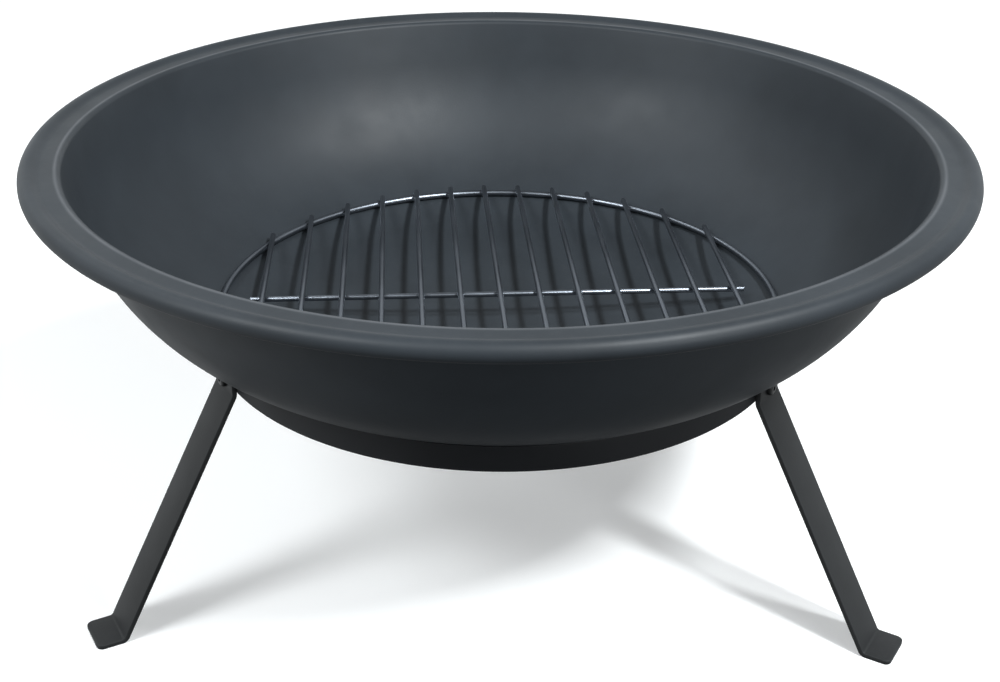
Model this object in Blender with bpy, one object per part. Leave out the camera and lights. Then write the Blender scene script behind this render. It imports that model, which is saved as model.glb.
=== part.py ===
"""Fire pit: a pressed steel bowl on a flat-bar stand with three legs, and a loose wire grate in the bowl.

Metres, +Z up. The origin is on the ground, below the middle of the rim.
"""

from math import acos, atan2, cos, hypot, pi, radians, sin, sqrt, tan

import bmesh
import bpy
from mathutils import Vector

# Flats round the large hoops, round the small turned pieces and round a wire
ROUND_STEPS = 72
SMALL_STEPS = 18
WIRE_SIDES = 8

# Clearance where pieces touch or are welded on the real object, and round a bolt in its hole
SEAT_GAP = 0.0003
HOLE_GAP = 0.00025

# Bowl: one pressed sheet, with radii measured at the middle of the sheet
RIM_RADIUS = 0.280
BOWL_DEPTH = 0.1242
SHEET = 0.001
FLOOR_EDGE_SLOPE = radians(5)
CORNER_RADIUS = 0.1245
WALL_SLOPE = radians(74)
SHOULDER_RADIUS = 0.003
FLANGE_WIDTH = 0.008
FLANGE_SLOPE = radians(3)
BEAD_RADIUS = 0.0055
BEAD_RISE = 0.0024
BEAD_FILLET = 0.006
BEAD_CURL = radians(235)
CORNER_STEPS = 12

# Support ring: flat bar on edge
RING_RADIUS = 0.1806
RING_THICKNESS = 0.003
RING_HEIGHT = 0.016
RING_TOP = 0.1654

# Legs: flat bar, upright against the ring, then slanted, then a foot bent out
LEG_NAMES = ("front_left", "front_right", "rear")
FIRST_LEG_ANGLE = radians(-150)
LEG_WIDTH = 0.0275
LEG_THICKNESS = 0.003
LEG_BEND_RADIUS = 0.006
FOOT_TIP_RADIUS = 0.2798
FOOT_LENGTH = 0.0171
FOOT_BEND_RADIUS = 0.0035
LEG_CORNER_RADIUS = 0.004

# Bolt and nut that hold each leg to the ring
BOLT_RADIUS = 0.0025
BOLT_HEIGHT = 0.0055
BOLT_POINT = 0.0004
HEAD_RADIUS = 0.00475
HEAD_HEIGHT = 0.00275
HEAD_EDGE = 0.0006
HEAD_TOP_RADIUS = 0.0024
SOCKET_WIDTH = 0.003
SOCKET_DEPTH = 0.0015
NUT_WIDTH = 0.008
NUT_THICKNESS = 0.004
NUT_CHAMFER = 0.0005
BOLT_OVERHANG = 0.0015

# Grate: round wires on a hoop that lies on the bowl's inside
HOOP_RADIUS = 0.1743
HOOP_WIRE = 0.004
BAR_WIRE = 0.0035
BAR_PITCH = 0.0248
BAR_MARGIN = 0.020
BAR_OVERHANG = 0.0015
CROSS_BAR_OVERHANG = 0.008
GRATE_TURN = radians(5)

# Surfaces: linear colour and roughness of the dark coats, and how metallic they look
BOWL_COAT = ((0.034, 0.036, 0.039), 0.42)
RING_COAT = ((0.026, 0.028, 0.031), 0.45)
LEG_COAT = ((0.040, 0.041, 0.044), 0.48)
BOLT_COAT = ((0.022, 0.023, 0.025), 0.35)
NUT_COAT = ((0.024, 0.025, 0.027), 0.38)
HOOP_COAT = ((0.038, 0.040, 0.042), 0.44)
BAR_COAT = ((0.045, 0.047, 0.049), 0.42)
COAT_METALLIC = 0.25

SHARP_ANGLE = radians(35)
POLE_MERGE = 0.000001


class BentLine:
    """A line in the plane of radius and height, drawn by going straight and turning."""

    def __init__(self, radius, height, heading):
        self.place = Vector((radius, height))
        self.heading = heading
        self.points = [(self.place, heading)]

    def straight(self, length):
        self.step(length)
        self.points.append((self.place, self.heading))

    def bend(self, radius, angle, steps):
        """An arc that turns left for a positive angle and right for a negative one."""
        turn = angle / steps
        chord = 2 * radius * sin(abs(turn) / 2)
        for _ in range(steps):
            self.heading += turn / 2
            self.step(chord)
            self.heading += turn / 2
            self.points.append((self.place, self.heading))

    def step(self, length):
        self.place = self.place + length * Vector((cos(self.heading), sin(self.heading)))

    def outline(self, thickness):
        """The strip of this thickness along the line: its right side, then its left side on the way back."""
        left = []
        right = []
        for place, heading in self.points:
            across = Vector((-sin(heading), cos(heading))) * thickness / 2
            left.append(place + across)
            right.append(place - across)
        return right + left[::-1]


def clear_scene():
    for obj in list(bpy.data.objects):
        bpy.data.objects.remove(obj, do_unlink=True)


def coated_steel(name, coat):
    colour, roughness = coat
    material = bpy.data.materials.new(name)
    material.use_nodes = True
    surface = material.node_tree.nodes["Principled BSDF"]
    surface.inputs["Base Color"].default_value = (*colour, 1)
    surface.inputs["Roughness"].default_value = roughness
    surface.inputs["Metallic"].default_value = COAT_METALLIC
    return material


def finished_mesh(name, shape, material):
    """The mesh of a closed shape, shaded smooth apart from its sharp edges."""
    bmesh.ops.recalc_face_normals(shape, faces=shape.faces)
    mesh = bpy.data.meshes.new(name)
    shape.to_mesh(mesh)
    shape.free()
    mesh.materials.append(material)
    mesh.shade_smooth()
    mesh.set_sharp_from_angle(angle=SHARP_ANGLE)
    return mesh


def add_object(name, data, parent=None, location=(0, 0, 0), turn=0):
    obj = bpy.data.objects.new(name, data)
    bpy.context.scene.collection.objects.link(obj)
    obj.parent = parent
    obj.location = location
    obj.rotation_euler.z = turn
    return obj


def turned_mesh(name, outline, closed, material):
    """An outline of radius and height, turned about the upright axis."""
    shape = bmesh.new()
    corners = [shape.verts.new((radius, 0, height)) for radius, height in outline]
    pairs = list(zip(corners, corners[1:]))
    if closed:
        pairs.append((corners[-1], corners[0]))
    edges = [shape.edges.new(pair) for pair in pairs]
    bmesh.ops.spin(
        shape, geom=corners + edges, axis=(0, 0, 1), angle=2 * pi, steps=ROUND_STEPS, use_merge=True
    )
    bmesh.ops.remove_doubles(shape, verts=shape.verts, dist=POLE_MERGE)
    return finished_mesh(name, shape, material)


def lofted_mesh(name, rings, closed, material):
    """Faces between neighbouring rings; the two end rings are joined, or each gets a cap."""
    shape = bmesh.new()
    loops = [[shape.verts.new(point) for point in ring] for ring in rings]
    pairs = list(zip(loops, loops[1:]))
    if closed:
        pairs.append((loops[-1], loops[0]))
    for first, second in pairs:
        for here, there in zip(range(-1, SMALL_STEPS - 1), range(SMALL_STEPS)):
            shape.faces.new((first[here], first[there], second[there], second[here]))
    if not closed:
        shape.faces.new(loops[0])
        shape.faces.new(loops[-1])
    return finished_mesh(name, shape, material)


def circle_ring(place, radius):
    """Points of a circle about the X axis."""
    turns = [2 * pi * index / SMALL_STEPS for index in range(SMALL_STEPS)]
    return [(place, radius * cos(turn), radius * sin(turn)) for turn in turns]


def hexagon_ring(place, width):
    """As many points as circle_ring has, on a hexagon this wide across its flats."""
    turns = [2 * pi * index / SMALL_STEPS for index in range(SMALL_STEPS)]
    reaches = [width / 2 / cos(turn % (pi / 3) - pi / 6) for turn in turns]
    return [(place, reach * cos(turn), reach * sin(turn)) for turn, reach in zip(turns, reaches)]


def facet_drop(radius):
    """How far the middle of a flat lies inside the circle that its corners are on."""
    return radius * (1 - cos(pi / ROUND_STEPS))


def wall_top_radius():
    """Where the straight wall ends and the shoulder begins, counted back from the rolled rim."""
    shoulder = SHOULDER_RADIUS * (sin(WALL_SLOPE) + sin(FLANGE_SLOPE))
    flange = FLANGE_WIDTH * cos(FLANGE_SLOPE)
    return RIM_RADIUS - BEAD_RADIUS - bead_reach() - flange - shoulder


def bead_reach():
    """Radius from the flange's outer end to the middle of the bead."""
    return (BEAD_FILLET + bead_bend_radius()) * sin(bead_lift()) + BEAD_FILLET * sin(FLANGE_SLOPE)


def bead_bend_radius():
    return BEAD_RADIUS - SHEET / 2


def bead_lift():
    """Slope at which the fillet hands over to the bead, so that the bead rises above the flange as set."""
    drop = BEAD_RADIUS - BEAD_RISE - SHEET / 2 * cos(FLANGE_SLOPE)
    return acos((BEAD_FILLET * cos(FLANGE_SLOPE) + drop) / (BEAD_FILLET + bead_bend_radius()))


def wall_length():
    """Length of the straight wall that makes the bowl as deep as set."""
    outer = wall_top_radius() - CORNER_RADIUS * sin(WALL_SLOPE)
    floor_rise = tan(FLOOR_EDGE_SLOPE / 2)
    corner = CORNER_RADIUS * (cos(FLOOR_EDGE_SLOPE) - cos(WALL_SLOPE))
    shoulder = SHOULDER_RADIUS * (1 - cos(WALL_SLOPE))
    floor = (outer + CORNER_RADIUS * sin(FLOOR_EDGE_SLOPE)) * floor_rise
    rest = BOWL_DEPTH - SHEET - floor - corner - shoulder
    return rest / (sin(WALL_SLOPE) - cos(WALL_SLOPE) * floor_rise)


def corner_centre():
    """Radius and height of the middle of the large corner's arc, above the underside of the floor."""
    radius = wall_top_radius() - CORNER_RADIUS * sin(WALL_SLOPE) - wall_length() * cos(WALL_SLOPE)
    floor_radius = radius + CORNER_RADIUS * sin(FLOOR_EDGE_SLOPE)
    floor_rise = floor_radius * tan(FLOOR_EDGE_SLOPE / 2)
    return radius, SHEET / 2 + floor_rise + CORNER_RADIUS * cos(FLOOR_EDGE_SLOPE)


def bowl_height():
    """Height of the floor's underside, with the large corner resting on the ring's upper inner edge."""
    radius, height = corner_centre()
    reach = CORNER_RADIUS + SHEET / 2 + SEAT_GAP
    return RING_TOP + sqrt(reach**2 - (ring_inner_radius() - radius) ** 2) - height


def ring_inner_radius():
    return RING_RADIUS - RING_THICKNESS


def ring_bottom():
    return RING_TOP - RING_HEIGHT


def hoop_height():
    """Height of the hoop's middle above the underside of the floor, lying on the large corner's inside."""
    radius, height = corner_centre()
    half_step = (WALL_SLOPE - FLOOR_EDGE_SLOPE) / CORNER_STEPS / 2
    inside = (CORNER_RADIUS - SHEET / 2) * cos(half_step)
    reach = inside - HOOP_WIRE / 2 - SEAT_GAP
    return height - sqrt(reach**2 - (HOOP_RADIUS - radius) ** 2)


def make_bowl():
    radius, _ = corner_centre()
    floor_bend = (radius + CORNER_RADIUS * sin(FLOOR_EDGE_SLOPE)) / sin(FLOOR_EDGE_SLOPE)
    line = BentLine(0, SHEET / 2, 0)
    line.bend(floor_bend, FLOOR_EDGE_SLOPE, 2)
    line.bend(CORNER_RADIUS, WALL_SLOPE - FLOOR_EDGE_SLOPE, CORNER_STEPS)
    line.straight(wall_length())
    line.bend(SHOULDER_RADIUS, -WALL_SLOPE - FLANGE_SLOPE, 5)
    line.straight(FLANGE_WIDTH)
    line.bend(BEAD_FILLET, FLANGE_SLOPE + bead_lift(), 2)
    line.bend(bead_bend_radius(), -bead_lift() - BEAD_CURL, 9)
    material = coated_steel("bowl_coat", BOWL_COAT)
    mesh = turned_mesh("bowl", line.outline(SHEET), False, material)
    return add_object("bowl", mesh, location=(0, 0, bowl_height()))


def make_support_ring(stand):
    inner = ring_inner_radius()
    outline = (
        (inner, ring_bottom()),
        (RING_RADIUS, ring_bottom()),
        (RING_RADIUS, RING_TOP),
        (inner, RING_TOP),
    )
    mesh = turned_mesh("support_ring", outline, True, coated_steel("ring_coat", RING_COAT))
    return add_object("support_ring", mesh, stand)


def leg_line():
    """The leg's middle line, from the top of the tab to the tip of the foot."""
    tab = RING_RADIUS + SEAT_GAP + LEG_THICKNESS / 2
    bend_height = ring_bottom() - SEAT_GAP
    heel = FOOT_TIP_RADIUS - FOOT_LENGTH
    lean = atan2(heel - tab, bend_height - LEG_THICKNESS / 2)
    shank = hypot(heel - tab, bend_height - LEG_THICKNESS / 2)
    upper_run = LEG_BEND_RADIUS * tan(lean / 2)
    foot_turn = pi / 2 - lean
    lower_run = FOOT_BEND_RADIUS * tan(foot_turn / 2)
    line = BentLine(tab, RING_TOP, -pi / 2)
    line.straight(RING_TOP - bend_height - upper_run)
    line.bend(LEG_BEND_RADIUS, lean, 4)
    line.straight(shank - upper_run - lower_run)
    line.bend(FOOT_BEND_RADIUS, foot_turn, 6)
    line.straight(FOOT_LENGTH - lower_run)
    return line


def leg_mesh(material):
    """A flat bar bent along the leg's line, with the corners of its two ends rounded."""
    line = leg_line()
    shape = bmesh.new()
    outline = line.outline(LEG_THICKNESS)
    side = shape.faces.new([shape.verts.new((radius, -LEG_WIDTH / 2, height)) for radius, height in outline])
    grown = bmesh.ops.extrude_face_region(shape, geom=[side])
    moved = [item for item in grown["geom"] if isinstance(item, bmesh.types.BMVert)]
    bmesh.ops.translate(shape, verts=moved, vec=(0, LEG_WIDTH, 0))
    ends = [line.points[0][0], line.points[-1][0]]
    corners = [edge for edge in shape.edges if is_at(edge, ends)]
    bmesh.ops.bevel(
        shape,
        geom=corners,
        offset=LEG_CORNER_RADIUS,
        segments=4,
        profile=0.5,
        affect="EDGES",
        clamp_overlap=True,
    )
    return finished_mesh("leg", shape, material)


def is_at(edge, ends):
    """Whether the middle of the edge, seen from the side, is one of the line's ends."""
    middle = (edge.verts[0].co + edge.verts[1].co) / 2
    return any(hypot(middle.x - end.x, middle.z - end.y) < POLE_MERGE for end in ends)


def bolt_mesh(material):
    """A button-head bolt along X, its head's underside at x = 0 and a hexagon socket in the head."""
    grip = SEAT_GAP + LEG_THICKNESS + RING_THICKNESS + nut_setback()
    length = grip + SEAT_GAP + NUT_THICKNESS + BOLT_OVERHANG
    rings = [
        circle_ring(-length, BOLT_RADIUS - BOLT_POINT),
        circle_ring(BOLT_POINT - length, BOLT_RADIUS),
        circle_ring(0, BOLT_RADIUS),
        circle_ring(0, HEAD_RADIUS),
    ]
    for turn in (0, pi / 6, pi / 3, pi / 2):
        place = HEAD_EDGE + (HEAD_HEIGHT - HEAD_EDGE) * sin(turn)
        rings.append(circle_ring(place, HEAD_TOP_RADIUS + (HEAD_RADIUS - HEAD_TOP_RADIUS) * cos(turn)))
    rings.append(hexagon_ring(HEAD_HEIGHT, SOCKET_WIDTH))
    rings.append(hexagon_ring(HEAD_HEIGHT - SOCKET_DEPTH, SOCKET_WIDTH))
    return lofted_mesh("leg_bolt", rings, False, material)


def nut_setback():
    """From the ring's inner face to the nut, past the flats of the ring."""
    return facet_drop(ring_inner_radius()) + SEAT_GAP


def nut_mesh(material):
    """A hexagon nut along X, its seat at x = 0."""
    bore = BOLT_RADIUS + SEAT_GAP
    rings = [
        circle_ring(0, bore),
        circle_ring(0, NUT_WIDTH / 2),
        hexagon_ring(-NUT_CHAMFER, NUT_WIDTH),
        hexagon_ring(NUT_CHAMFER - NUT_THICKNESS, NUT_WIDTH),
        circle_ring(-NUT_THICKNESS, NUT_WIDTH / 2),
        circle_ring(-NUT_THICKNESS, bore),
    ]
    return lofted_mesh("leg_nut", rings, True, material)


def hole_mesh():
    """A rod along X, long enough to pass through a leg and the ring with the rod's middle between them."""
    shape = bmesh.new()
    bmesh.ops.create_cone(
        shape,
        cap_ends=True,
        segments=SMALL_STEPS,
        radius1=BOLT_RADIUS + HOLE_GAP,
        radius2=BOLT_RADIUS + HOLE_GAP,
        depth=4 * (LEG_THICKNESS + RING_THICKNESS),
    )
    bmesh.ops.rotate(shape, verts=shape.verts, matrix=quarter_turn())
    mesh = bpy.data.meshes.new("bolt_hole")
    shape.to_mesh(mesh)
    shape.free()
    return mesh


def quarter_turn():
    """Lays what stands along Z down along X."""
    return Vector((0, 0, 1)).rotation_difference(Vector((1, 0, 0))).to_matrix()


def cut_hole(obj, cutter):
    cut = obj.modifiers.new(cutter.name, "BOOLEAN")
    cut.operation = "DIFFERENCE"
    cut.solver = "EXACT"
    cut.object = cutter


def make_stand():
    """The ring, and three legs that are each held to it by a bolt and a nut."""
    stand = add_object("stand", None)
    ring = make_support_ring(stand)
    leg = leg_mesh(coated_steel("leg_coat", LEG_COAT))
    bolt = bolt_mesh(coated_steel("bolt_coat", BOLT_COAT))
    nut = nut_mesh(coated_steel("nut_coat", NUT_COAT))
    hole = hole_mesh()
    level = ring_bottom() + BOLT_HEIGHT
    bolt_seat = RING_RADIUS + LEG_THICKNESS + 2 * SEAT_GAP
    nut_seat = ring_inner_radius() - nut_setback()
    for index, name in enumerate(LEG_NAMES):
        angle = FIRST_LEG_ANGLE + 2 * pi * index / len(LEG_NAMES)
        out = Vector((cos(angle), sin(angle), 0))
        up = Vector((0, 0, level))
        cutter = add_object("bolt_hole_" + name, hole, stand, out * RING_RADIUS + up, angle)
        cutter.hide_render = True
        cutter.display_type = "WIRE"
        cut_hole(add_object("leg_" + name, leg, stand, turn=angle), cutter)
        cut_hole(ring, cutter)
        add_object("leg_bolt_" + name, bolt, stand, out * bolt_seat + up, angle)
        add_object("leg_nut_" + name, nut, stand, out * nut_seat + up, angle)


def rod_mesh(name, wire, half_length, material):
    """A straight round wire along Y."""
    shape = bmesh.new()
    bmesh.ops.create_cone(
        shape,
        cap_ends=True,
        segments=WIRE_SIDES,
        radius1=wire / 2,
        radius2=wire / 2,
        depth=2 * half_length,
    )
    lay_down = Vector((0, 0, 1)).rotation_difference(Vector((0, 1, 0))).to_matrix()
    bmesh.ops.rotate(shape, verts=shape.verts, matrix=lay_down)
    return finished_mesh(name, shape, material)


def hoop_mesh(material):
    turns = [2 * pi * index / WIRE_SIDES for index in range(WIRE_SIDES)]
    outline = [(HOOP_RADIUS + HOOP_WIRE / 2 * cos(turn), HOOP_WIRE / 2 * sin(turn)) for turn in turns]
    return turned_mesh("grate_ring", outline, True, material)


def make_grate(bowl):
    """The hoop on the bowl's inside, the bars on top of the hoop, and the cross bar under the bars."""
    grate = add_object("grate", None, bowl, (0, 0, hoop_height()), GRATE_TURN)
    add_object("grate_ring", hoop_mesh(coated_steel("hoop_coat", HOOP_COAT)), grate)
    bar_coat = coated_steel("bar_coat", BAR_COAT)
    bar_level = (HOOP_WIRE + BAR_WIRE) / 2 + SEAT_GAP
    side_bars = int((HOOP_RADIUS - BAR_MARGIN) / BAR_PITCH)
    for index in range(-side_bars, side_bars + 1):
        place = index * BAR_PITCH
        half_length = sqrt((HOOP_RADIUS + BAR_OVERHANG) ** 2 - place**2)
        name = f"grate_bar_{index + side_bars + 1:02d}"
        add_object(name, rod_mesh(name, BAR_WIRE, half_length, bar_coat), grate, (place, 0, bar_level))
    cross_reach = side_bars * BAR_PITCH + CROSS_BAR_OVERHANG
    cross = rod_mesh("grate_cross_bar", BAR_WIRE, cross_reach, bar_coat)
    add_object("grate_cross_bar", cross, grate, (0, 0, bar_level - BAR_WIRE - SEAT_GAP), pi / 2)


def main():
    clear_scene()
    make_stand()
    make_grate(make_bowl())


main()
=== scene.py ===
"""Looks of the fire pit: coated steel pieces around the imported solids, soft lights and a pale floor."""

from math import acos, atan2, cos, hypot, inf, pi, radians, sin, sqrt, tan

import bmesh
import bpy
from mathutils import Matrix, Vector


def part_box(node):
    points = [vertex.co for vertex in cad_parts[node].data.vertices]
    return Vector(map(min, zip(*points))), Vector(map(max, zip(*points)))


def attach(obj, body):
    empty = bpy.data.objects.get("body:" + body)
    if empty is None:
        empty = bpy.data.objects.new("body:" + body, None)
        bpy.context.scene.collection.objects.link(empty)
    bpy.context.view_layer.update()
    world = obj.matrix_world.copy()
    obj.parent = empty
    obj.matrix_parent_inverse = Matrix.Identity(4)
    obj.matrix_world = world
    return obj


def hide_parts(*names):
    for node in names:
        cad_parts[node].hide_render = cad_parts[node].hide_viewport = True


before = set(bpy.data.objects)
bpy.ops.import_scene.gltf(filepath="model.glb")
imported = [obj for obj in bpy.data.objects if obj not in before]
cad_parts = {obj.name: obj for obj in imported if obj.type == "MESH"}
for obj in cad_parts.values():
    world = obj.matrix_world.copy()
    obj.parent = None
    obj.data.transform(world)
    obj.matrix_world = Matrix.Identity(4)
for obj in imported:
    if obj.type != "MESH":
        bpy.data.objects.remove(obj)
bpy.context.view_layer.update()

# Steps round the turned pieces, round a wire and round the bolts and nuts
ROUND_STEPS = 288
WIRE_STEPS = 20
SMALL_STEPS = 48

# Points nearer than this are one, and edges sharper than these angles look sharp
SAME_PLACE = 0.000001
SHARP_ANGLE = radians(35)
LEG_SHARP_ANGLE = radians(50)

# Bowl, as in the solids: radii at the middle of the sheet
RIM_RADIUS = 0.280
BOWL_DEPTH = 0.1242
SHEET = 0.001
FLOOR_EDGE_SLOPE = radians(5)
FLOOR_STEPS = 10
CORNER_RADIUS = 0.1245
CORNER_STEPS = 36
WALL_SLOPE = radians(74)
WALL_STEPS = 3
SHOULDER_RADIUS = 0.003
SHOULDER_STEPS = 12
FLANGE_WIDTH = 0.008
FLANGE_SLOPE = radians(3)
FLANGE_STEPS = 2
BEAD_RADIUS = 0.0055
BEAD_RISE = 0.0024
BEAD_FILLET = 0.006
BEAD_FILLET_STEPS = 5
BEAD_CURL = radians(235)
BEAD_STEPS = 24

# Support ring and legs
RING_RADIUS = 0.1806
RING_THICKNESS = 0.003
RING_HEIGHT = 0.016
RING_TOP = 0.1654
RING_EDGE_STEPS = 4
SOLID_RING_FACETS = 72
LEG_NAMES = ("front_left", "front_right", "rear")
FIRST_LEG_ANGLE = radians(-150)
LEG_WIDTH = 0.0275
LEG_THICKNESS = 0.003
LEG_BEND_RADIUS = 0.006
LEG_BEND_STEPS = 10
SHANK_STEPS = 6
FOOT_TIP_RADIUS = 0.2798
FOOT_LENGTH = 0.0171
FOOT_BEND_RADIUS = 0.0035
FOOT_BEND_STEPS = 14
LEG_CORNER_RADIUS = 0.004
LEG_CORNER_STEPS = 10
LEG_EDGE_STEPS = 3
BAR_EDGE = 0.0005

# Bolts and nuts
BOLT_RADIUS = 0.0025
BOLT_HEIGHT = 0.0055
BOLT_TIP_CHAMFER = 0.0004
BOLT_OVERHANG = 0.0015
HEAD_RADIUS = 0.00475
HEAD_HEIGHT = 0.00275
HEAD_EDGE = 0.0006
HEAD_TOP_RADIUS = 0.0024
HEAD_STEPS = 8
SOCKET_WIDTH = 0.003
SOCKET_DEPTH = 0.0015
NUT_WIDTH = 0.008
NUT_THICKNESS = 0.004
NUT_CHAMFER = 0.0004
NUT_CHAMFER_STEPS = 4
BORE_CHAMFER = 0.0003
BROKEN_EDGE = 0.0001
SEAT_GAP = 0.0003
HOLE_GAP = 0.00025

# Grate
HOOP_RADIUS = 0.1743
HOOP_WIRE = 0.004
BAR_WIRE = 0.0035
BAR_PITCH = 0.0248
BAR_MARGIN = 0.020
BAR_OVERHANG = 0.0015
CROSS_BAR_OVERHANG = 0.008
GRATE_TURN = radians(5)
WIRE_EDGE = 0.0003
WIRE_EDGE_INSET = 0.3
WELD_SIZE = (0.0014, 0.0017, 0.0007)
WELD_STEPS = (16, 10)

# Soft boxes by name, azimuth from the front, elevation, size and power, all at one distance from one place
LIGHT_COLOUR = (0.95, 0.985, 1.0)
LIGHT_TARGET = Vector((0, 0, 0.2))
LIGHT_DISTANCE = 2.5
SOFT_LIGHTS = (
    ("key", 43, 48, 0.28, 55),
    ("key_high", 64, 56, 0.35, 34),
    ("key_low", 38, 14, 0.7, 16),
    ("second", -50, 44, 0.8, 36),
    ("second_low", -62, 25, 0.7, 9),
    ("behind", -120, 50, 0.9, 8),
)

# The world's light: along which axis it changes, between which parts of it, and its strength at both
WORLD_BANDS = (
    ("Z", -0.1, 0.1, 0.10, 0.06),
    ("Y", 0.45, 0.95, 0, 0.9),
    ("X", -0.8, -0.2, 0.66, 0),
    ("X", 0.2, 0.8, 0, 0.4),
)

# Floor
FLOOR_REACH = 30
FLOOR_COLOUR = (0.86, 0.86, 0.86, 1)
FLOOR_ROUGHNESS = 0.95
FLOOR_GLOSS = 0.1
FLOOR_GLOW = 0.22

# Camera
SENSOR_WIDTH = 36
CAMERA_LENS = 53.44
CAMERA_TURN = radians(1.023)
CAMERA_PLACE = (0.00053, -0.85053, 0.57338)
CAMERA_TILT = radians(62.726)
CAMERA_ROLL = radians(0.44)

# Coats: linear colour, roughness and gloss, how metallic, and how wide the edges are rubbed lighter
BOWL_COAT = ((0.0205, 0.0250, 0.0300), 0.5, 0.27, 0, 0)
# The ring's colour is the black coat made darker than the bowl's: partly its own colour, partly painted
# shade for the shade under the bowl
RING_COAT_WITH_PAINTED_SHADE = ((0.012, 0.013, 0.015), 0.5, 0.2, 0, 0.0012)
LEG_COAT = ((0.018, 0.019, 0.020), 0.52, 0.24, 0, 0.0012)
FASTENER_COAT = ((0.010, 0.0105, 0.011), 0.36, 0.4, 0, 0.0008)
WIRE_COAT = ((0.20, 0.22, 0.25), 0.36, 0.5, 1, 0)
# Lighter colour for the rubbed edges, and also for the painted highlight along the bowl's inner shoulder
RUBBED_AND_HIGHLIGHT_COLOUR = (0.075, 0.08, 0.088)
DUST_COLOUR = (0.11, 0.11, 0.11)

# Patches on the coats: noise scale per metre, detail and roughness, and the levels they change between
MOTTLE = (14, 4, 0.6, 0.3, 0.7)
DUST = (220, 5, 0.7, 0.5, 0.8)
EDGE_PATCHES = (60, 4, 0.65, 0.42, 0.7)
# The shoulder's patches make a painted highlight along the bowl's inner shoulder, not wear
SHOULDER_HIGHLIGHT_PATCHES = (25, 3, 0.6, 0.3, 0.7)
GLOSS_PATCHES = (30, 3, 0.5, 0.3, 0.7)

# How strong the patches are
MOTTLE_CHANGE = 0.14
DUST_MOST = 0.06
EDGE_RUBBED = (0.05, 0.5)
# Strength of the painted highlight along the bowl's inner shoulder
SHOULDER_HIGHLIGHT_STRENGTH = (0.55, 0.95)
GLOSS_CHANGE = 0.04

# Waves and orange peel: noise scale per metre, detail and roughness, then bump strength and height
WAVES = (7, 1, 0.5)
WAVE_BUMP = (0.25, 0.0012)
PEEL = (900, 2, 0.5)
PEEL_BUMP = (0.12, 0.0003)

# Edges and upward faces, by the cosines between which they start and are complete
BEVEL_SAMPLES = 4
EDGE_COSINES = (0.97, 0.8)
UPWARD_COSINES = (0.5, 1)


class BentLine:
    """A line in the plane of radius and height, drawn by going straight and turning."""

    def __init__(self, radius, height, heading):
        self.place = Vector((radius, height))
        self.heading = heading
        self.points = [(self.place, heading)]

    def straight(self, length, steps=1):
        for _ in range(steps):
            self.step(length / steps)
            self.points.append((self.place, self.heading))

    def bend(self, radius, angle, steps):
        turn = angle / steps
        chord = 2 * radius * sin(abs(turn) / 2)
        for _ in range(steps):
            self.heading += turn / 2
            self.step(chord)
            self.heading += turn / 2
            self.points.append((self.place, self.heading))

    def step(self, length):
        self.place = self.place + length * Vector((cos(self.heading), sin(self.heading)))

    def outline(self, thickness):
        left = []
        right = []
        for place, heading in self.points:
            across = Vector((-sin(heading), cos(heading))) * thickness / 2
            left.append(place + across)
            right.append(place - across)
        return right + left[::-1]


def finished(name, shape, body, nodes, material):
    """An object made of the closed shape, that rides on the body and stands for the nodes."""
    bmesh.ops.recalc_face_normals(shape, faces=shape.faces)
    mesh = bpy.data.meshes.new(name)
    shape.to_mesh(mesh)
    shape.free()
    mesh.materials.append(material)
    mesh.shade_smooth()
    mesh.set_sharp_from_angle(angle=SHARP_ANGLE)
    obj = bpy.data.objects.new(name, mesh)
    bpy.context.scene.collection.objects.link(obj)
    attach(obj, body)
    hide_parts(*nodes)
    return obj


def turned(outline, closed):
    """The outline of radius and height turned round the upright axis, closed or open at the axis."""
    shape = bmesh.new()
    corners = [shape.verts.new((radius, 0, height)) for radius, height in outline]
    pairs = list(zip(corners, corners[1:]))
    if closed:
        pairs.append((corners[-1], corners[0]))
    edges = [shape.edges.new(pair) for pair in pairs]
    bmesh.ops.spin(
        shape, geom=corners + edges, axis=(0, 0, 1), angle=2 * pi, steps=ROUND_STEPS, use_merge=True
    )
    bmesh.ops.remove_doubles(shape, verts=shape.verts, dist=SAME_PLACE)
    return shape


def wall_top_radius():
    shoulder = SHOULDER_RADIUS * (sin(WALL_SLOPE) + sin(FLANGE_SLOPE))
    return RIM_RADIUS - BEAD_RADIUS - bead_reach() - FLANGE_WIDTH * cos(FLANGE_SLOPE) - shoulder


def bead_reach():
    return (BEAD_FILLET + bead_bend_radius()) * sin(bead_lift()) + BEAD_FILLET * sin(FLANGE_SLOPE)


def bead_bend_radius():
    return BEAD_RADIUS - SHEET / 2


def bead_lift():
    drop = BEAD_RADIUS - BEAD_RISE - SHEET / 2 * cos(FLANGE_SLOPE)
    return acos((BEAD_FILLET * cos(FLANGE_SLOPE) + drop) / (BEAD_FILLET + bead_bend_radius()))


def wall_length():
    outer = wall_top_radius() - CORNER_RADIUS * sin(WALL_SLOPE)
    floor_rise = tan(FLOOR_EDGE_SLOPE / 2)
    corner = CORNER_RADIUS * (cos(FLOOR_EDGE_SLOPE) - cos(WALL_SLOPE))
    shoulder = SHOULDER_RADIUS * (1 - cos(WALL_SLOPE))
    floor = (outer + CORNER_RADIUS * sin(FLOOR_EDGE_SLOPE)) * floor_rise
    rest = BOWL_DEPTH - SHEET - floor - corner - shoulder
    return rest / (sin(WALL_SLOPE) - cos(WALL_SLOPE) * floor_rise)


def corner_centre_radius():
    return wall_top_radius() - CORNER_RADIUS * sin(WALL_SLOPE) - wall_length() * cos(WALL_SLOPE)


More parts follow.
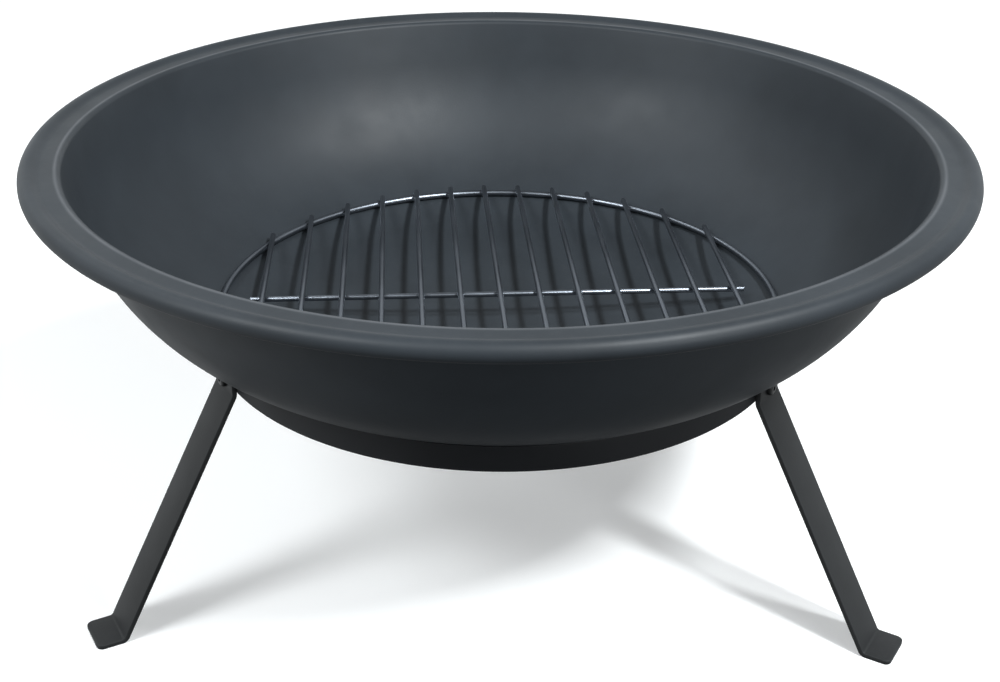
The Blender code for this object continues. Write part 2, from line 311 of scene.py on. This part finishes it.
def bowl_outline():
    """The sheet's section, with its top at the top of the solid bowl."""
    floor_edge_radius = corner_centre_radius() + CORNER_RADIUS * sin(FLOOR_EDGE_SLOPE)
    line = BentLine(0, 0, 0)
    line.bend(floor_edge_radius / sin(FLOOR_EDGE_SLOPE), FLOOR_EDGE_SLOPE, FLOOR_STEPS)
    line.bend(CORNER_RADIUS, WALL_SLOPE - FLOOR_EDGE_SLOPE, CORNER_STEPS)
    line.straight(wall_length(), WALL_STEPS)
    line.bend(SHOULDER_RADIUS, -WALL_SLOPE - FLANGE_SLOPE, SHOULDER_STEPS)
    line.straight(FLANGE_WIDTH, FLANGE_STEPS)
    line.bend(BEAD_FILLET, FLANGE_SLOPE + bead_lift(), BEAD_FILLET_STEPS)
    line.bend(bead_bend_radius(), -bead_lift() - BEAD_CURL, BEAD_STEPS)
    outline = line.outline(SHEET)
    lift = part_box("bowl")[1].z - max(point.y for point in outline)
    return [(max(point.x, 0), point.y + lift) for point in outline]


def make_bowl():
    # The third argument places a painted highlight along the round of the shoulder
    look = coat("bowl_look", BOWL_COAT, wall_top_radius() + SHOULDER_RADIUS)
    finished("pressed_bowl", turned(bowl_outline(), False), "bowl", ["bowl"], look)


def rounded_section(low, high):
    """A rectangle from corner low to corner high with rounded corners, as points of radius and height."""
    points = []
    centres = (
        (high[0] - BAR_EDGE, high[1] - BAR_EDGE, 0),
        (low[0] + BAR_EDGE, high[1] - BAR_EDGE, pi / 2),
        (low[0] + BAR_EDGE, low[1] + BAR_EDGE, pi),
        (high[0] - BAR_EDGE, low[1] + BAR_EDGE, 3 * pi / 2),
    )
    for x, y, start in centres:
        for index in range(RING_EDGE_STEPS + 1):
            turn = start + pi / 2 * index / RING_EDGE_STEPS
            points.append((x + BAR_EDGE * cos(turn), y + BAR_EDGE * sin(turn)))
    return points


def make_ring():
    low = (RING_RADIUS - RING_THICKNESS, RING_TOP - RING_HEIGHT)
    shape = turned(rounded_section(low, (RING_RADIUS, RING_TOP)), True)
    look = coat("ring_look", RING_COAT_WITH_PAINTED_SHADE)
    finished("flat_bar_ring", shape, "stand", ["support_ring"], look)


def leg_line():
    """The middle of the leg's bar: tab down the ring, bend, slanted shank, bend and foot."""
    tab = RING_RADIUS + SEAT_GAP + LEG_THICKNESS / 2
    bend_height = RING_TOP - RING_HEIGHT - SEAT_GAP
    heel = FOOT_TIP_RADIUS - FOOT_LENGTH
    lean = atan2(heel - tab, bend_height - LEG_THICKNESS / 2)
    shank = hypot(heel - tab, bend_height - LEG_THICKNESS / 2)
    upper_run = LEG_BEND_RADIUS * tan(lean / 2)
    foot_turn = pi / 2 - lean
    lower_run = FOOT_BEND_RADIUS * tan(foot_turn / 2)
    line = BentLine(tab, RING_TOP, -pi / 2)
    line.straight(RING_TOP - bend_height - upper_run)
    line.bend(LEG_BEND_RADIUS, lean, LEG_BEND_STEPS)
    line.straight(shank - upper_run - lower_run, SHANK_STEPS)
    line.bend(FOOT_BEND_RADIUS, foot_turn, FOOT_BEND_STEPS)
    line.straight(FOOT_LENGTH - lower_run)
    return line


def leg_shape():
    """A flat bar bent along the leg's line, its end corners rounded in plan."""
    line = leg_line()
    shape = bmesh.new()
    outline = line.outline(LEG_THICKNESS)
    corners = [shape.verts.new((radius, -LEG_WIDTH / 2, height)) for radius, height in outline]
    side = shape.faces.new(corners)
    grown = bmesh.ops.extrude_face_region(shape, geom=[side])
    moved = [item for item in grown["geom"] if isinstance(item, bmesh.types.BMVert)]
    bmesh.ops.translate(shape, verts=moved, vec=(0, LEG_WIDTH, 0))
    ends = [line.points[0][0], line.points[-1][0]]
    bmesh.ops.bevel(
        shape,
        geom=[edge for edge in shape.edges if is_at(edge, ends)],
        offset=LEG_CORNER_RADIUS,
        segments=LEG_CORNER_STEPS,
        profile=0.5,
        affect="EDGES",
        clamp_overlap=True,
    )
    bmesh.ops.recalc_face_normals(shape, faces=shape.faces)
    return shape


def is_at(edge, ends):
    middle = (edge.verts[0].co + edge.verts[1].co) / 2
    return any(hypot(middle.x - end.x, middle.z - end.y) < SAME_PLACE for end in ends)


def applied(obj):
    """The object's mesh with its modifiers, put in place of its mesh."""
    evaluated = obj.evaluated_get(bpy.context.evaluated_depsgraph_get())
    mesh = bpy.data.meshes.new_from_object(evaluated)
    mesh.name = obj.name
    obj.modifiers.clear()
    obj.data = mesh


def bolt_level():
    return RING_TOP - RING_HEIGHT + BOLT_HEIGHT


def hole_cutter():
    shape = bmesh.new()
    bmesh.ops.create_cone(
        shape,
        cap_ends=True,
        segments=SMALL_STEPS,
        radius1=BOLT_RADIUS + HOLE_GAP,
        radius2=BOLT_RADIUS + HOLE_GAP,
        depth=4 * LEG_THICKNESS,
    )
    lay_down = Vector((0, 0, 1)).rotation_difference(Vector((1, 0, 0))).to_matrix()
    bmesh.ops.rotate(shape, verts=shape.verts, matrix=lay_down)
    bmesh.ops.translate(shape, verts=shape.verts, vec=(RING_RADIUS, 0, bolt_level()))
    mesh = bpy.data.meshes.new("cutter")
    shape.to_mesh(mesh)
    shape.free()
    cutter = bpy.data.objects.new("cutter", mesh)
    bpy.context.scene.collection.objects.link(cutter)
    return cutter


def leg_turns():
    """Each leg's name with its turn about the upright axis."""
    for index, name in enumerate(LEG_NAMES):
        yield name, Matrix.Rotation(FIRST_LEG_ANGLE + 2 * pi * index / len(LEG_NAMES), 4, "Z")


def make_legs():
    look = coat("leg_look", LEG_COAT)
    cutter = hole_cutter()
    for name, turn in leg_turns():
        leg = finished("bent_leg_" + name, leg_shape(), "stand", ["leg_" + name], look)
        cut = leg.modifiers.new("hole", "BOOLEAN")
        cut.operation = "DIFFERENCE"
        cut.solver = "EXACT"
        cut.object = cutter
        soften = leg.modifiers.new("edges", "BEVEL")
        soften.width = BAR_EDGE
        soften.segments = LEG_EDGE_STEPS
        soften.limit_method = "ANGLE"
        soften.angle_limit = LEG_SHARP_ANGLE
        bpy.context.view_layer.update()
        applied(leg)
        leg.data.shade_smooth()
        leg.data.set_sharp_from_angle(angle=LEG_SHARP_ANGLE)
        leg.data.transform(turn)
    bpy.data.objects.remove(cutter)


def turns(steps):
    return [2 * pi * index / steps for index in range(steps)]


def circle_ring(place, radius):
    return [(place, radius * cos(turn), radius * sin(turn)) for turn in turns(SMALL_STEPS)]


def hexagon_ring(place, width, limit=inf):
    """A hexagon this wide across its flats, with what reaches past the limit radius turned off."""
    ring = []
    for turn in turns(SMALL_STEPS):
        reach = min(limit, width / 2 / cos(turn % (pi / 3) - pi / 6))
        ring.append((place, reach * cos(turn), reach * sin(turn)))
    return ring


def lofted(rings, closed):
    """A skin from ring to ring, closed to the first ring or with a face on both ends."""
    shape = bmesh.new()
    loops = [[shape.verts.new(point) for point in ring] for ring in rings]
    pairs = list(zip(loops, loops[1:]))
    if closed:
        pairs.append((loops[-1], loops[0]))
    for first, second in pairs:
        for here in range(len(first)):
            shape.faces.new((first[here - 1], first[here], second[here], second[here - 1]))
    if not closed:
        shape.faces.new(loops[0])
        shape.faces.new(loops[-1])
    return shape


def nut_setback():
    """How far the flats of the solid ring lie inside its round inside, and the nut's gap to them."""
    facet_drop = (RING_RADIUS - RING_THICKNESS) * (1 - cos(pi / SOLID_RING_FACETS))
    return facet_drop + SEAT_GAP


def bolt_shape():
    """A button-head bolt along X, its head's seat at 0 and a hexagon socket in its head."""
    grip = SEAT_GAP + LEG_THICKNESS + RING_THICKNESS + nut_setback()
    length = grip + SEAT_GAP + NUT_THICKNESS + BOLT_OVERHANG
    rings = [
        circle_ring(-length, BOLT_RADIUS - BOLT_TIP_CHAMFER),
        circle_ring(BOLT_TIP_CHAMFER - length, BOLT_RADIUS),
        circle_ring(0, BOLT_RADIUS),
        circle_ring(0, HEAD_RADIUS - BROKEN_EDGE),
        circle_ring(BROKEN_EDGE, HEAD_RADIUS),
    ]
    for index in range(HEAD_STEPS + 1):
        turn = pi / 2 * index / HEAD_STEPS
        place = HEAD_EDGE + (HEAD_HEIGHT - HEAD_EDGE) * sin(turn)
        rings.append(circle_ring(place, HEAD_TOP_RADIUS + (HEAD_RADIUS - HEAD_TOP_RADIUS) * cos(turn)))
    rings.append(hexagon_ring(HEAD_HEIGHT, SOCKET_WIDTH + 2 * BROKEN_EDGE))
    rings.append(hexagon_ring(HEAD_HEIGHT - BROKEN_EDGE, SOCKET_WIDTH))
    rings.append(hexagon_ring(HEAD_HEIGHT - SOCKET_DEPTH, SOCKET_WIDTH))
    return lofted(rings, False)


def nut_shape():
    """A hexagon nut along X with both its faces and its bore chamfered, its seat at 0."""
    bore = BOLT_RADIUS + SEAT_GAP
    flat = NUT_WIDTH / 2 - BROKEN_EDGE
    corner = NUT_WIDTH / 2 / cos(pi / 6)
    chamfer = []
    for index in range(NUT_CHAMFER_STEPS + 1):
        share = index / NUT_CHAMFER_STEPS
        chamfer.append((NUT_CHAMFER * share, flat + (corner - flat) * share))
    rings = [circle_ring(-BORE_CHAMFER, bore), circle_ring(0, bore + BORE_CHAMFER)]
    rings += [hexagon_ring(-depth, NUT_WIDTH, limit) for depth, limit in chamfer]
    rings += [hexagon_ring(depth - NUT_THICKNESS, NUT_WIDTH, limit) for depth, limit in chamfer[::-1]]
    rings.append(circle_ring(-NUT_THICKNESS, bore + BORE_CHAMFER))
    rings.append(circle_ring(BORE_CHAMFER - NUT_THICKNESS, bore))
    return lofted(rings, True)


def make_fasteners():
    bolt_look = coat("bolt_look", FASTENER_COAT)
    nut_look = coat("nut_look", FASTENER_COAT)
    bolt_seat = Matrix.Translation((RING_RADIUS + LEG_THICKNESS + 2 * SEAT_GAP, 0, bolt_level()))
    nut_seat = Matrix.Translation((RING_RADIUS - RING_THICKNESS - nut_setback(), 0, bolt_level()))
    for name, turn in leg_turns():
        bolt_node = ["leg_bolt_" + name]
        bolt = finished("button_bolt_" + name, bolt_shape(), "stand", bolt_node, bolt_look)
        bolt.data.transform(turn @ bolt_seat)
        nut_node = ["leg_nut_" + name]
        nut = finished("hex_nut_" + name, nut_shape(), "stand", nut_node, nut_look)
        nut.data.transform(turn @ nut_seat)


def wire_circle(radius):
    return [(radius * cos(turn), radius * sin(turn)) for turn in turns(WIRE_STEPS)]


def rod_shape(half_length):
    """A straight round wire along Y with its cut ends slightly rounded off."""
    inset = WIRE_EDGE_INSET * WIRE_EDGE
    ends = (
        (half_length, BAR_WIRE / 2 - WIRE_EDGE),
        (half_length - inset, BAR_WIRE / 2 - inset),
        (half_length - WIRE_EDGE, BAR_WIRE / 2),
    )
    stations = [(-place, radius) for place, radius in ends] + list(ends[::-1])
    return lofted([[(x, place, z) for x, z in wire_circle(radius)] for place, radius in stations], False)


def add_weld(shape, along):
    """A small weld between a wire along Y and the wire that crosses below it."""
    low = Vector((0, along, -(BAR_WIRE + SEAT_GAP) / 2))
    round_steps, upright_steps = WELD_STEPS
    bmesh.ops.create_uvsphere(
        shape,
        u_segments=round_steps,
        v_segments=upright_steps,
        radius=1,
        matrix=Matrix.Translation(low) @ Matrix.Diagonal((*WELD_SIZE, 1)),
    )


def make_grate():
    """The hoop, the bars on it with a weld at each crossing, and the cross bar under the bars."""
    hoop_low, hoop_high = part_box("grate_ring")
    hoop_level = (hoop_low.z + hoop_high.z) / 2
    hoop = turned([(HOOP_RADIUS + x, hoop_level + z) for x, z in wire_circle(HOOP_WIRE / 2)], True)
    finished("grate_hoop", hoop, "grate", ["grate_ring"], coat("hoop_look", WIRE_COAT))
    look = coat("bar_look", WIRE_COAT)
    bar_level = hoop_level + (HOOP_WIRE + BAR_WIRE) / 2 + SEAT_GAP
    side_bars = int((HOOP_RADIUS - BAR_MARGIN) / BAR_PITCH)
    lay = Matrix.Rotation(GRATE_TURN, 4, "Z")
    for index in range(-side_bars, side_bars + 1):
        place = index * BAR_PITCH
        shape = rod_shape(sqrt((HOOP_RADIUS + BAR_OVERHANG) ** 2 - place**2))
        hoop_cross = sqrt(HOOP_RADIUS**2 - place**2)
        for along in (-hoop_cross, 0, hoop_cross):
            add_weld(shape, along)
        number = f"{index + side_bars + 1:02d}"
        bar = finished("grate_wire_" + number, shape, "grate", ["grate_bar_" + number], look)
        bar.data.transform(lay @ Matrix.Translation((place, 0, bar_level)))
    shape = rod_shape(side_bars * BAR_PITCH + CROSS_BAR_OVERHANG)
    cross = finished("grate_cross_wire", shape, "grate", ["grate_cross_bar"], look)
    cross_level = bar_level - BAR_WIRE - SEAT_GAP
    cross.data.transform(lay @ Matrix.Translation((0, 0, cross_level)) @ Matrix.Rotation(pi / 2, 4, "Z"))


class Nodes:
    """Short ways to add nodes to one material."""

    def __init__(self, material):
        self.tree = material.node_tree
        self.surface = self.tree.nodes["Principled BSDF"]
        self.place = self.tree.nodes.new("ShaderNodeTexCoord").outputs["Object"]

    def join(self, output, target):
        self.tree.links.new(output, target)

    def noise(self, scale, detail, rough):
        node = self.tree.nodes.new("ShaderNodeTexNoise")
        node.inputs["Scale"].default_value = scale
        node.inputs["Detail"].default_value = detail
        node.inputs["Roughness"].default_value = rough
        self.join(self.place, node.inputs["Vector"])
        return node.outputs["Fac"]

    def ramp(self, value, low, high, start, end):
        node = self.tree.nodes.new("ShaderNodeMapRange")
        node.inputs["From Min"].default_value = low
        node.inputs["From Max"].default_value = high
        node.inputs["To Min"].default_value = start
        node.inputs["To Max"].default_value = end
        self.join(value, node.inputs["Value"])
        return node.outputs["Result"]

    def patches(self, noise, start, end):
        """A noise that goes from start to end between its two levels."""
        scale, detail, rough, low, high = noise
        return self.ramp(self.noise(scale, detail, rough), low, high, start, end)

    def times(self, first, second):
        node = self.tree.nodes.new("ShaderNodeMath")
        node.operation = "MULTIPLY"
        self.join(first, node.inputs[0])
        self.join(second, node.inputs[1])
        return node.outputs["Value"]

    def blend(self, factor, first, second):
        """From the first colour, given as an output or as numbers, to the second colour."""
        node = self.tree.nodes.new("ShaderNodeMix")
        node.data_type = "RGBA"
        self.join(factor, node.inputs["Factor"])
        if isinstance(first, tuple):
            node.inputs["A"].default_value = (*first, 1)
        else:
            self.join(first, node.inputs["A"])
        node.inputs["B"].default_value = (*second, 1)
        return node.outputs["Result"]

    def bump(self, height, strength, distance, below=None):
        node = self.tree.nodes.new("ShaderNodeBump")
        node.inputs["Strength"].default_value = strength
        node.inputs["Distance"].default_value = distance
        self.join(height, node.inputs["Height"])
        if below is not None:
            self.join(below, node.inputs["Normal"])
        return node.outputs["Normal"]

    def edge(self, radius):
        """One on edges sharper than the radius, zero on faces."""
        soft = self.tree.nodes.new("ShaderNodeBevel")
        soft.samples = BEVEL_SAMPLES
        soft.inputs["Radius"].default_value = radius
        true = self.tree.nodes.new("ShaderNodeNewGeometry")
        node = self.tree.nodes.new("ShaderNodeVectorMath")
        node.operation = "DOT_PRODUCT"
        self.join(soft.outputs["Normal"], node.inputs[0])
        self.join(true.outputs["Normal"], node.inputs[1])
        return self.ramp(node.outputs["Value"], *EDGE_COSINES, 0, 1)

    def near_radius(self, radius, width):
        """One at this distance from the upright axis, zero from half the width away."""
        flat = self.tree.nodes.new("ShaderNodeVectorMath")
        flat.operation = "MULTIPLY"
        flat.inputs[1].default_value = (1, 1, 0)
        self.join(self.place, flat.inputs[0])
        reach = self.tree.nodes.new("ShaderNodeVectorMath")
        reach.operation = "LENGTH"
        self.join(flat.outputs["Vector"], reach.inputs[0])
        rise = self.ramp(reach.outputs["Value"], radius - width / 2, radius, 0, 1)
        fall = self.ramp(reach.outputs["Value"], radius, radius + width / 2, 1, 0)
        return self.times(rise, fall)

    def upward(self):
        """One on faces that look up, zero on upright and lower faces."""
        true = self.tree.nodes.new("ShaderNodeNewGeometry")
        parts = self.tree.nodes.new("ShaderNodeSeparateXYZ")
        self.join(true.outputs["Normal"], parts.inputs["Vector"])
        return self.ramp(parts.outputs["Z"], *UPWARD_COSINES, 0, 1)


def coat(name, look, shoulder=None):
    """A coat with mottled colour and gloss, orange peel, slow waves, rubbed edges and a trace of dust.

    On the bowl a painted highlight, a lighter colour in patches, lies along the round of the shoulder at
    this radius.
    """
    colour, roughness, gloss, metallic, edge_width = look
    material = bpy.data.materials.new(name)
    material.use_nodes = True
    nodes = Nodes(material)
    nodes.surface.inputs["Specular IOR Level"].default_value = gloss
    nodes.surface.inputs["Metallic"].default_value = metallic
    darker = tuple((1 - MOTTLE_CHANGE) * part for part in colour)
    lighter = tuple((1 + MOTTLE_CHANGE) * part for part in colour)
    shade = nodes.blend(nodes.patches(MOTTLE, 0, 1), darker, lighter)
    shade = nodes.blend(nodes.times(nodes.upward(), nodes.patches(DUST, 0, DUST_MOST)), shade, DUST_COLOUR)
    if edge_width:
        rubbed_and_highlight = nodes.times(nodes.edge(edge_width), nodes.patches(EDGE_PATCHES, *EDGE_RUBBED))
        shade = nodes.blend(rubbed_and_highlight, shade, RUBBED_AND_HIGHLIGHT_COLOUR)
    # Painted highlight: a lighter band in patches along the bowl's inner shoulder, standing in for the
    # shine of its round
    if shoulder is not None:
        band = nodes.near_radius(shoulder, SHOULDER_RADIUS)
        rubbed_and_highlight = nodes.times(band, nodes.patches(SHOULDER_HIGHLIGHT_PATCHES, *SHOULDER_HIGHLIGHT_STRENGTH))
        shade = nodes.blend(rubbed_and_highlight, shade, RUBBED_AND_HIGHLIGHT_COLOUR)
    nodes.join(shade, nodes.surface.inputs["Base Color"])
    changing = nodes.patches(GLOSS_PATCHES, roughness - GLOSS_CHANGE, roughness + GLOSS_CHANGE)
    nodes.join(changing, nodes.surface.inputs["Roughness"])
    waves = nodes.bump(nodes.noise(*WAVES), *WAVE_BUMP)
    peel = nodes.bump(nodes.noise(*PEEL), *PEEL_BUMP, waves)
    nodes.join(peel, nodes.surface.inputs["Normal"])
    return material


def soft_light(name, azimuth, elevation, size, power):
    """A soft box, placed by its direction from the pit: azimuth from the front, positive to the right."""
    data = bpy.data.lights.new(name, "AREA")
    data.shape = "DISK"
    data.size = size
    data.energy = power
    data.color = LIGHT_COLOUR
    lamp = bpy.data.objects.new(name, data)
    bpy.context.scene.collection.objects.link(lamp)
    turn = radians(azimuth)
    across = cos(radians(elevation))
    out = Vector((sin(turn) * across, -cos(turn) * across, sin(radians(elevation))))
    lamp.location = LIGHT_TARGET + out * LIGHT_DISTANCE
    lamp.rotation_euler = (LIGHT_TARGET - lamp.location).to_track_quat("-Z", "Y").to_euler()


def make_floor():
    """A pale floor that the pit's coat doesn't mirror, as in a studio with the floor lit apart."""
    mesh = bpy.data.meshes.new("studio_floor")
    corners = [(-1, -1), (1, -1), (1, 1), (-1, 1)]
    mesh.from_pydata([(x * FLOOR_REACH, y * FLOOR_REACH, 0) for x, y in corners], [], [(0, 1, 2, 3)])
    floor = bpy.data.objects.new("studio_floor", mesh)
    bpy.context.scene.collection.objects.link(floor)
    floor.visible_glossy = False
    floor.visible_diffuse = False
    paint = bpy.data.materials.new("floor_paint")
    paint.use_nodes = True
    surface = paint.node_tree.nodes["Principled BSDF"]
    surface.inputs["Base Color"].default_value = FLOOR_COLOUR
    surface.inputs["Roughness"].default_value = FLOOR_ROUGHNESS
    surface.inputs["Specular IOR Level"].default_value = FLOOR_GLOSS
    surface.inputs["Emission Color"].default_value = (1, 1, 1, 1)
    surface.inputs["Emission Strength"].default_value = FLOOR_GLOW
    mesh.materials.append(paint)


def make_world():
    """Light from all round, by direction: little from above and below, more from both sides and behind."""
    world = bpy.data.worlds.new("studio")
    bpy.context.scene.world = world
    world.use_nodes = True
    tree = world.node_tree
    place = tree.nodes.new("ShaderNodeTexCoord")
    parts = tree.nodes.new("ShaderNodeSeparateXYZ")
    tree.links.new(place.outputs["Generated"], parts.inputs["Vector"])
    total = None
    for axis, low, high, start, end in WORLD_BANDS:
        band = tree.nodes.new("ShaderNodeMapRange")
        band.interpolation_type = "SMOOTHSTEP"
        band.inputs["From Min"].default_value = low
        band.inputs["From Max"].default_value = high
        band.inputs["To Min"].default_value = start
        band.inputs["To Max"].default_value = end
        tree.links.new(parts.outputs[axis], band.inputs["Value"])
        if total is None:
            total = band.outputs["Result"]
        else:
            both = tree.nodes.new("ShaderNodeMath")
            both.operation = "ADD"
            tree.links.new(total, both.inputs[0])
            tree.links.new(band.outputs["Result"], both.inputs[1])
            total = both.outputs["Value"]
    background = tree.nodes["Background"]
    background.inputs["Color"].default_value = (*LIGHT_COLOUR, 1)
    tree.links.new(total, background.inputs["Strength"])


def make_studio():
    make_floor()
    make_world()
    for soft_box in SOFT_LIGHTS:
        soft_light(*soft_box)


def make_camera():
    """The camera at the photograph's place, turned about the pit, tilted and rolled."""
    data = bpy.data.cameras.new("camera")
    data.sensor_width = SENSOR_WIDTH
    data.lens = CAMERA_LENS
    camera = bpy.data.objects.new("camera", data)
    bpy.context.scene.collection.objects.link(camera)
    camera.matrix_world = (
        Matrix.Rotation(CAMERA_TURN, 4, "Z")
        @ Matrix.Translation(CAMERA_PLACE)
        @ Matrix.Rotation(CAMERA_TILT, 4, "X")
        @ Matrix.Rotation(CAMERA_ROLL, 4, "Z")
    )
    bpy.context.scene.camera = camera


make_camera()
make_bowl()
make_ring()
make_legs()
make_fasteners()
make_grate()
make_studio()
bpy.context.scene.view_settings.view_transform = "Standard"
